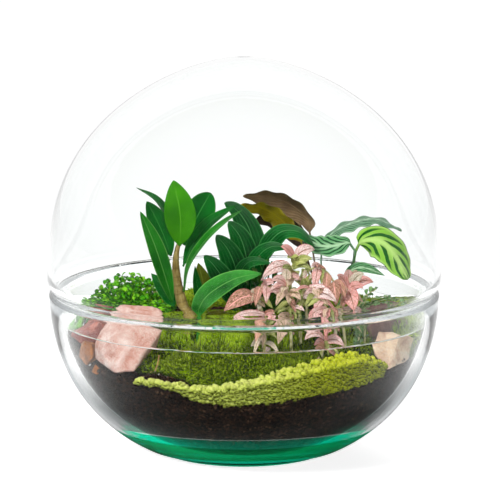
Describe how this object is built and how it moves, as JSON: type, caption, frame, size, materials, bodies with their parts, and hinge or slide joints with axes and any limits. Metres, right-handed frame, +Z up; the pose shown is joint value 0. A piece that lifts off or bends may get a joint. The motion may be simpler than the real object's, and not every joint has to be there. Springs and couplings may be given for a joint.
{
  "type": "planted glass globe terrarium",
  "caption": "Clear glass globe in two parts with a thick green base, planted with moss, rocks, a small dracaena, striped foliage plants and pink nerve plants in soil.",
  "frame": {"origin": "centre of the flat underside of the bowl, where it stands on a table", "axes": "+Z up along the globe's axis; -Y towards the viewer who sees the low front bank of soil; +X to that viewer's right"},
  "size_m": [0.2996, 0.2996, 0.3005],
  "materials": {
    "clear_glass": "clear blown glass, polished, green where it is thick",
    "potting_soil": "crumbly dark brown potting soil, matte",
    "green_moss": "living green moss, soft and matte",
    "olive_moss": "olive cushion moss, matte",
    "reindeer_moss": "pale yellow-green reindeer moss, matte",
    "pink_stone": "rough broken pink stone, matte",
    "red_stone": "rough red-brown stone, matte",
    "amber_stone": "broken amber stone, half gloss",
    "brown_stone": "weathered brown stone, matte",
    "tan_stem": "smooth tan stem, satin",
    "bright_leaf": "bright green leaf, satin",
    "dark_leaf": "dark green leaf, satin",
    "olive_leaf": "olive green young leaf, satin",
    "zebra_leaf": "pale green leaf with dark bands, satin",
    "purple_underleaf": "purple-brown leaf underside, matte",
    "pink_leaf": "pink leaf with green veins, satin",
    "small_green_leaf": "small fresh green leaf, satin"
  },
  "bodies": {
    "root": {"glass_bowl": "clear_glass", "glass_dome": "clear_glass", "soil": "potting_soil", "moss_front": "green_moss", "moss_back": "green_moss", "moss_tuft_olive": "olive_moss", "reindeer_moss": "reindeer_moss", "stone_pink_left": "pink_stone", "stone_tan_right": "pink_stone", "stone_red_left": "red_stone", "stone_amber_left": "amber_stone", "stone_amber_small": "amber_stone", "stone_brown_right": "brown_stone", "dracaena_stem": "tan_stem", "dracaena_leaf_upright": "bright_leaf", "dracaena_leaf_back": "dark_leaf", "dracaena_leaf_edge": "dark_leaf", "dracaena_leaf_left": "dark_leaf", "dracaena_leaf_low_left": "dark_leaf", "dracaena_leaf_low_back": "dark_leaf", "dracaena_leaf_right": "dark_leaf", "dracaena_leaf_right_dark": "dark_leaf", "dracaena_leaf_sucker": "dark_leaf", "strap_leaf_tall": "dark_leaf", "strap_leaf_tall_mid": "dark_leaf", "strap_leaf_left_mid": "dark_leaf", "strap_leaf_left_low": "dark_leaf", "strap_leaf_right_high": "dark_leaf", "strap_leaf_right_low": "dark_leaf", "strap_leaf_front": "dark_leaf", "strap_leaf_lit": "bright_leaf", "strap_leaf_young": "olive_leaf", "calathea_leaf_back_high": "purple_underleaf", "calathea_leaf_back_mid": "purple_underleaf", "calathea_leaf_back_low": "purple_underleaf", "calathea_leaf_mint": "zebra_leaf", "calathea_leaf_far": "zebra_leaf", "calathea_leaf_zebra": "zebra_leaf", "calathea_leaf_small": "zebra_leaf", "fittonia_centre": "pink_leaf", "fittonia_right": "pink_leaf", "fittonia_back": "pink_leaf", "fittonia_front": "pink_leaf", "fittonia_low_left": "pink_leaf", "fittonia_arch_front": "pink_leaf", "fittonia_arch_left": "pink_leaf", "fittonia_arch_right": "pink_leaf", "bush_small_leaved": "small_green_leaf", "sprig_right_tall": "small_green_leaf", "sprig_right_low": "small_green_leaf"}
  },
  "joints": []
}
